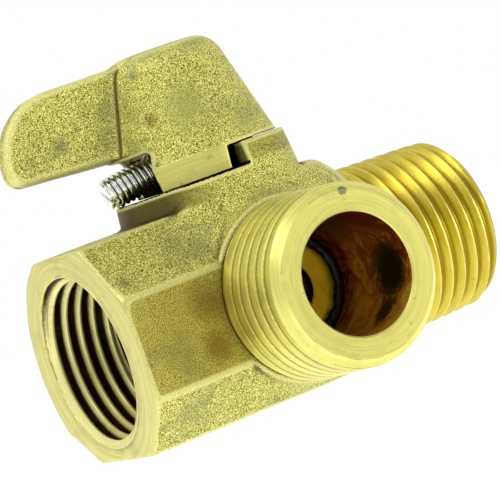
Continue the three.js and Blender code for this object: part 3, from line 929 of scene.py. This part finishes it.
# painted shade in folds, creases and under things
FOLD_SHADE = (0.055, 0.030, 0.004)
# painted shade on the front flat beside the branch
FRONT_SHADE = (0.30, 0.20, 0.008)
GOLD = (0.78, 0.64, 0.085)
WEB_YELLOW = (1.0, 0.92, 0.012)
# painted shade in the female thread's valleys
VALLEY_SHADE = (0.030, 0.013, 0.002)
FRONT_Y = (-13.5, -13.9)  # the painted shade sets in between these, on the flat round the branch

# marks: place, size and colour
BODY_STAINS_AND_SHADE = (
    ((-19.8, -12.3, 7.4), 1.1, GREEN_STAIN_AND_SHADE),
    # brown marks beside the branch: stain, and painted shade from the branch
    ((-12.0, -13.9, 2.4), 3.2, BROWN_STAIN_AND_SHADE),
    ((-12.6, -13.9, -2.6), 2.8, BROWN_STAIN_AND_SHADE),
    # painted shadow of the handle on the collar
    ((-8.9, -6.5, 12.5), 2.4, GREEN_STAIN_AND_SHADE),
    ((-10.9, -0.5, 13.5), 2.0, BROWN_STAIN_AND_SHADE),
)
HANDLE_STAINS_AND_SHADE = (
    ((-15.5, 0.7, 23.9), 1.4, GREEN_STAIN_AND_SHADE),
    ((-7.0, -0.8, 30.3), 1.0, GREEN_STAIN_AND_SHADE),
    ((-5.9, -3.4, 28.8), 1.1, GREEN_STAIN_AND_SHADE),
    # painted shade in the fold where the blade meets the hub
    ((-6.5, -5.1, 23.3), 1.2, BROWN_STAIN_AND_SHADE),
    # darker green over the front of the hub
    ((-3.0, -7.6, 23.5), 4.0, DARKER_GREEN),
    ((2.5, -7.8, 19.8), 3.0, DARKER_GREEN),
)
BRANCH_MARKS = (
    ((1.6, -26.3, 9.0), 0.6, (0.22, 0.22, 0.10)),
    ((-10.2, -13.6, 1.7), 0.5, (0.03, 0.01, 0.004)),
)
BORE_BLOTS = (
    ((6.6, -21.6, -1.2), 3.1, (0.003, 0.001, 0.001)),
    ((4.4, -21.4, -5.2), 1.5, (0.05, 0.006, 0.003)),
    ((3.9, -17.1, 5.5), 2.6, (0.07, 0.006, 0.003)),
)


def cast_brass(name, stains_and_shade):
    """Blasted casting: a fine grain, stains, painted shade in its folds and hollows and on the flat
    round the branch, and pale edges that are worn and carry a painted highlight.
    """
    made = Finish(name, 0.85, 0.5)
    grain = made.noise(8.4, 1.0, 0.7)
    coarse = made.noise(2.2, 2.0, 0.6)
    patch = made.noise(0.16, 3.0, 0.6)
    tone = made.plus(made.math("MULTIPLY", grain, 0.88), coarse, 0.12)
    colour = made.ramp(tone, (0.405, DARK_GRAIN), (0.47, OLIVE), (0.53, YELLOW), (0.59, PALE))
    edge = made.attribute("edge")
    dirt_and_shade = made.between(made.plus(patch, coarse, 0.3), 0.66, 0.84)
    colour = made.tinted(colour, dirt_and_shade, 0.4, GREEN_STAIN_AND_SHADE)
    # stains, and at some places painted shade
    for place, size, tint in stains_and_shade:
        near = made.plus(made.away_from(*place), patch, size * 1.2)
        mark = made.math("SUBTRACT", 1.0, made.between(near, size * 0.6, size * 1.7))
        colour = made.tinted(colour, mark, 0.72, tint)
    # painted shade in the folds
    fold = made.between(made.plus(edge, grain, 0.7), 0.22, -0.45)
    colour = made.tinted(colour, fold, 0.7, FOLD_SHADE)
    # painted shade in creases and under the handle, from a vertex attribute
    painted_shade = made.between(made.plus(made.attribute("painted_shade"), grain, 1.2), 0.95, 1.35)
    colour = made.tinted(colour, painted_shade, 0.9, FOLD_SHADE)
    # painted shade on the front flat round the branch
    colour = made.tinted(colour, made.between(made.y, *FRONT_Y), 0.38, FRONT_SHADE)
    # paler edges: wear, and a painted highlight
    colour = made.tinted(colour, made.between(edge, 0.10, 0.55), 0.55, PALE)
    normal = made.bump(made.plus(grain, coarse, 0.8), 0.10, 0.85)
    return made.finish(colour, made.plus(0.36, grain, 0.3), normal)


def turned_brass(
    name, axes, bright, deep, roughness, crest=None, valley=None, marks=(), stained=0.3, metallic=1.0
):
    """Brass off the lathe, turned about the first of the axes.

    crest is the depth down to which a thread gets a painted highlight, and its colour; valley is the
    depths between which painted shade sets in, and their colour.
    """
    made = Finish(name, metallic, roughness)
    along, u, v = (getattr(made, axis) for axis in axes)
    rings = made.around(along, u, v, 40)
    line = made.noise(9.0, 2.0, 0.6, rings)
    wide = made.noise(1.3, 2.0, 0.5, rings)
    patch = made.noise(0.35, 3.0, 0.6)
    fine = made.noise(2.4, 3.0, 0.6)
    tone = made.plus(made.math("MULTIPLY", line, 0.5), wide, 0.5)
    colour = made.ramp(tone, (0.38, deep), (0.6, bright))
    depth = made.plus(made.attribute("depth"), fine, 0.12)
    if crest:
        top, tint = crest
        # painted highlight on the thread's crests
        colour = made.mix(made.between(depth, top + 0.12, top), colour, tint)
    if valley:
        start, end, tint = valley
        # painted shade in the thread's valleys
        colour = made.mix(made.between(depth, start, end), colour, tint)
    spot = made.between(made.noise(0.8, 4.0, 0.7), 0.60, 0.74)
    colour = made.tinted(colour, spot, stained, BROWN_STAIN_AND_SHADE)
    colour = made.tinted(colour, made.between(patch, 0.5, 0.75), 0.2, GREEN_STAIN_AND_SHADE)
    for place, size, tint in marks:
        near = made.plus(made.away_from(*place), fine, size * 0.8)
        colour = made.mix(made.between(near, size * 1.5, size * 1.1), colour, tint)
    rough = made.plus(roughness - 0.06, wide, 0.14)
    return made.finish(colour, rough, made.bump(line, 0.02, 0.7))


def stained_bore():
    """Branch bore, darkened by a brown sealant film that is thicker in places."""
    made = Finish("stained_bore", 0.55, 0.3)
    film = made.noise(0.42, 4.0, 0.65, distortion=1.2)
    streak = made.noise(1.5, 3.0, 0.6, distortion=0.8)
    height = made.math("MULTIPLY", made.z, 0.022)
    tone = made.plus(made.math("MULTIPLY", film, 0.7), streak, 0.3)
    tone = made.math("SUBTRACT", tone, height)
    colour = made.ramp(
        tone,
        (0.38, (0.13, 0.010, 0.003)),
        (0.47, (0.34, 0.055, 0.008)),
        (0.56, (0.60, 0.22, 0.015)),
        (0.68, (0.82, 0.48, 0.05)),
    )
    for place, size, tint in BORE_BLOTS:
        near = made.plus(made.away_from(*place), streak, size)
        colour = made.mix(made.between(near, size * 2.0, size * 1.15), colour, tint)
    colour = made.mix(made.between(made.y, -WEB - 0.5, -WEB + 0.2), colour, WEB_YELLOW)
    rough = made.plus(0.2, film, 0.3)
    return made.finish(colour, rough, made.bump(made.math("ADD", film, streak), 0.06, 0.4))


def black_shade():
    """Painted shade: black for the gaps round the stem and the hollows inside, dull, so it stays black
    at any angle.
    """
    made = Finish("painted_shade_black", 0.0, 0.9)
    made.shader.inputs["Specular IOR Level"].default_value = 0.0
    lump = made.noise(1.8, 3.0, 0.6)
    colour = made.ramp(lump, (0.4, (0.004, 0.003, 0.002)), (0.7, (0.030, 0.020, 0.006)))
    return made.finish(colour, None, made.bump(lump, 0.08, 0.7))


def zinc():
    """Bright zinc plate on the set screw, with painted shade in its thread."""
    made = Finish("zinc_plate", 1.0, 0.2)
    spot = made.noise(2.2, 3.0, 0.6)
    colour = made.ramp(spot, (0.35, (0.78, 0.81, 0.74)), (0.55, (1.0, 1.0, 0.96)))
    # painted shade in the thread grooves
    valley = made.between(made.attribute("depth"), 0.29, 0.37)
    colour = made.mix(valley, colour, (0.015, 0.014, 0.012))
    return made.finish(colour, made.plus(0.12, spot, 0.25), made.bump(spot, 0.03, 0.6))


def plain(name, colour, dark, metallic, roughness, scale):
    """One colour with a fine mottle and a light texture, for the inner pieces and the rubber."""
    made = Finish(name, metallic, roughness)
    grain = made.noise(scale, 3.0, 0.6)
    tone = made.ramp(grain, (0.35, dark), (0.62, colour))
    return made.finish(tone, made.plus(roughness - 0.08, grain, 0.16), made.bump(grain, 0.03, 0.5))


# ---- pieces ----
def body_casting(finishes):
    """The casting, finished as cast, turned at the female end, and painted black inside as shade."""
    low = (FACE_X, -HALF_FLATS - CAST_MARGIN, BODY_BOTTOM_Z)
    high = (SHOULDER_X[2], HALF_FLATS + CAST_MARGIN, STOP_TOP_Z)
    piece, points, quads = cast_piece("body_casting", casting, body_painted_shade, low, high, BODY_STEP)

    def choose(middle):
        x, y, z = middle.T
        radius = np.hypot(y, z)
        off = np.minimum(np.abs(female_chamfer(x, y, z)), np.abs(x - FACE_X))
        mouth = (radius < LINER_R) & (x < FACE_X + MOUTH_RIM)
        turned = ((off < 0.07) & (x < FACE_X + 2) & (radius > MOUTH_R)) | mouth
        inside = (radius < LINER_R) & (x < 0) & ~turned
        # faces hidden in the gaps or inside get the black painted shade
        return np.where(body_shade_faces(middle) | inside, 2, turned)

    paint_faces(piece, points, quads, finishes, choose)
    return piece


def handle_casting(finishes):
    """The handle, finished as cast above the lugs, turned below, and painted black as shade where it's
    hidden.
    """
    low = (BLADE_TIP_X, -HUB_SKIRT_R - 0.1, HUB_BOTTOM_Z)
    high = (HUB_SKIRT_R + 0.1, HUB_SKIRT_R + 0.1, HUB_TOP_Z)
    piece, points, quads = cast_piece(
        "handle_casting", handle_shape, handle_painted_shade, low, high, HANDLE_STEP, REST_TURN
    )

    def choose(middle):
        # hidden faces get the black painted shade
        return np.where(handle_shade_faces(middle), 2, middle[:, 2] < HUB_CAST_Z + 0.25)

    paint_faces(piece, points, quads, finishes, choose)
    return piece


def line_branch(piece, face_finish, bore_finish, dirt_and_shade):
    """Gives the end face of the branch, its stained bore and its port their own finishes."""
    for finish in (face_finish, bore_finish, dirt_and_shade):
        piece.data.materials.append(finish)
    for face in piece.data.polygons:
        x, y, z = face.center / MM
        radius = math.hypot(x, z)
        if y < -BRANCH_END + 0.05:
            face.material_index = 1
        # the port gets the black painted shade
        elif radius < WEB_PORT_R + 0.01:
            face.material_index = 3
        elif radius < BORE_R + 0.005 and y > -BRANCH_END + 0.2:
            face.material_index = 2


# ---- camera and light ----
def camera():
    """Places the camera and returns the directions to its right, its top and its back."""
    azimuth, elevation, roll = (math.radians(turn) for turn in CAMERA_TURNS)
    outward = math.cos(elevation)
    back = Vector((math.sin(azimuth) * outward, -math.cos(azimuth) * outward, math.sin(elevation)))
    level = Vector((math.cos(azimuth), math.sin(azimuth), 0))
    rise = back.cross(level)
    right = math.cos(roll) * level - math.sin(roll) * rise
    up = math.sin(roll) * level + math.cos(roll) * rise
    data = bpy.data.cameras.new("camera")
    data.lens = CAMERA_LENS
    data.clip_end = CAMERA_REACH
    eye = bpy.data.objects.new("camera", data)
    turn = Matrix((right, up, back)).transposed().to_4x4()
    place = CAMERA_AIM[0] * right + CAMERA_AIM[1] * up + CAMERA_DISTANCE * back
    eye.matrix_world = Matrix.Translation(place * MM) @ turn
    bpy.context.collection.objects.link(eye)
    bpy.context.scene.camera = eye
    return right, up, back


def lamp(name, direction, size, power):
    """A soft square lamp that faces the valve from a direction."""
    data = bpy.data.lights.new(name, "AREA")
    data.size = size * MM
    data.energy = power
    made = bpy.data.objects.new(name, data)
    made.location = direction.normalized() * LAMP_DISTANCE * MM
    made.rotation_euler = direction.to_track_quat("Z", "Y").to_euler()
    bpy.context.collection.objects.link(made)


def sky(back):
    """White to the camera; to the valve, a light tent that is dimmer where the camera looks in."""
    world = bpy.data.worlds.new("studio")
    bpy.context.scene.world = world
    world.use_nodes = True
    tree = world.node_tree
    paint = tree.nodes["Background"]
    way = tree.nodes.new("ShaderNodeTexCoord")
    towards = tree.nodes.new("ShaderNodeVectorMath")
    towards.operation = "DOT_PRODUCT"
    towards.inputs[1].default_value = back
    tent = tree.nodes.new("ShaderNodeMapRange")
    tent.interpolation_type = "SMOOTHSTEP"
    tent.inputs["From Min"].default_value = TENT_FROM
    tent.inputs["From Max"].default_value = 1.0
    tent.inputs["To Min"].default_value = TENT[0]
    tent.inputs["To Max"].default_value = TENT[1]
    path = tree.nodes.new("ShaderNodeLightPath")
    choose = tree.nodes.new("ShaderNodeMix")
    choose.inputs["B"].default_value = 1.0
    tree.links.new(way.outputs["Generated"], towards.inputs[0])
    tree.links.new(towards.outputs["Value"], tent.inputs["Value"])
    tree.links.new(path.outputs["Is Camera Ray"], choose.inputs["Factor"])
    tree.links.new(tent.outputs["Result"], choose.inputs["A"])
    tree.links.new(choose.outputs["Result"], paint.inputs["Strength"])
    paint.inputs["Color"].default_value = (1, 1, 1, 1)


def studio(right, up, back):
    """The lamps, the sky and a plain pale floor below the valve."""
    for name, ((sideways, upwards, backwards), size, power) in LAMPS.items():
        lamp(name, sideways * right + upwards * up + backwards * back, size, power)
    sky(back)
    bpy.context.scene.view_settings.view_transform = "Standard"
    level = BODY_LOW.z - FLOOR_DROP
    corners = [(-1, -1), (1, -1), (1, 1), (-1, 1)]
    points = [(x * FLOOR_HALF, y * FLOOR_HALF, level) for x, y in corners]
    floor = mesh_object("floor", np.array(points), [(0, 1, 2, 3)])
    paper = Finish("paper", 0.0, 0.9)
    tone = paper.ramp(paper.noise(0.02, 2.0), (0.3, (0.93, 0.93, 0.92)), (0.7, (0.96, 0.96, 0.95)))
    paper.shader.inputs["Emission Color"].default_value = (1, 1, 1, 1)
    paper.shader.inputs["Emission Strength"].default_value = FLOOR_GLOW
    floor.data.materials.append(paper.finish(tone))


# ---- assembly ----
def build_body():
    """Makes the casting, its three threads and the gasket, and returns the shared black material for
    painted shade.
    """
    cast_body = cast_brass("cast_brass_body", BODY_STAINS_AND_SHADE)
    ring = turned_brass(
        "turned_face", "xyz", (0.86, 0.82, 0.32), (0.66, 0.60, 0.17), 0.36, stained=0.15
    )
    # the run's crests get a painted highlight and its valleys painted shade
    run = turned_brass(
        "turned_run_thread", "xyz", GOLD, (0.58, 0.46, 0.045), 0.36,
        crest=(-0.02, (0.98, 0.92, 0.42)), valley=(0.5, 0.82, (0.42, 0.30, 0.02)), stained=0.5,
    )
    # painted shade in the branch thread's shallow grooves
    branch = turned_brass(
        "turned_branch_thread", "yxz", (0.92, 0.88, 0.27), (0.74, 0.69, 0.17), 0.44,
        valley=(0.08, 0.16, (0.40, 0.35, 0.08)), marks=BRANCH_MARKS,
    )
    face = turned_brass(
        "turned_branch_face", "yxz", (0.60, 0.565, 0.16), (0.45, 0.42, 0.11), 0.46,
        marks=BRANCH_MARKS, stained=0.5,
    )
    # painted shade in the female thread's valleys
    inner = turned_brass(
        "turned_female_thread", "xyz", (0.95, 0.91, 0.42), (0.78, 0.70, 0.22), 0.3,
        valley=(0.40, 0.72, VALLEY_SHADE), stained=0.4, metallic=0.5,
    )
    bore = stained_bore()
    # black material that paints shade in the hidden gaps and hollows
    dirt_and_shade = black_shade()
    rubber = plain("old_rubber", (0.005, 0.003, 0.002), (0.001, 0.001, 0.001), 0.0, 0.3, 1.2)
    for shy, level in ((inner, 0.1), (rubber, 0.2)):
        shy.node_tree.nodes["Principled BSDF"].inputs["Specular IOR Level"].default_value = level

    casting_piece = body_casting([cast_body, ring, dirt_and_shade])
    shells = [run_thread(), branch_thread(), female_thread()]
    for piece, finish in zip(shells, (run, branch, inner)):
        piece.data.materials.append(finish)
    line_branch(shells[1], face, bore, dirt_and_shade)
    for piece in (*shells, casting_piece):
        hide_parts("valve_body")
        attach(piece, "body")

    ring_piece = gasket()
    ring_piece.data.materials.append(rubber)
    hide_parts("branch_gasket")
    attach(ring_piece, "body")
    return dirt_and_shade


def build_handle(dirt_and_shade):
    """Makes the handle and the set screw that turns with it."""
    cast_handle = cast_brass("cast_brass_handle", HANDLE_STAINS_AND_SHADE)
    lug = turned_brass(
        "turned_lug", "zxy", (0.72, 0.69, 0.20), (0.60, 0.56, 0.16), 0.42, stained=0.6
    )
    lever = handle_casting([cast_handle, lug, dirt_and_shade])
    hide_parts("handle")
    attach(lever, "handle")
    screw = set_screw()
    screw.data.materials.append(zinc())
    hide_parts("handle_set_screw")
    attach(screw, "handle")


def finish_inside():
    """The pieces inside keep their CAD solids and only get a finish."""
    ptfe = plain("ptfe", (0.90, 0.89, 0.85), (0.80, 0.79, 0.74), 0.0, 0.5, 1.5)
    brass = plain("turned_brass_inside", (0.80, 0.66, 0.25), (0.55, 0.42, 0.12), 1.0, 0.3, 3.0)
    tarnished = plain("tarnished_brass", (0.05, 0.035, 0.010), (0.01, 0.008, 0.003), 0.6, 0.45, 2.0)
    chrome = plain("chrome", (0.80, 0.81, 0.82), (0.68, 0.69, 0.70), 1.0, 0.1, 1.0)
    rubber = plain("o_ring_rubber", (0.03, 0.03, 0.03), (0.015, 0.015, 0.015), 0.0, 0.55, 3.0)
    finishes = {
        "seat_male_side": ptfe, "seat_female_side": ptfe, "stem_thrust_washer": ptfe,
        "seat_retainer": tarnished, "stem": brass, "ball": chrome,
        "stem_o_ring_lower": rubber, "stem_o_ring_upper": rubber,
    }
    for node, finish in finishes.items():
        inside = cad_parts[node]
        inside.data.materials.clear()
        inside.data.materials.append(finish)


right, up, back = camera()
studio(right, up, back)
shared_shade = build_body()
build_handle(shared_shade)
finish_inside()
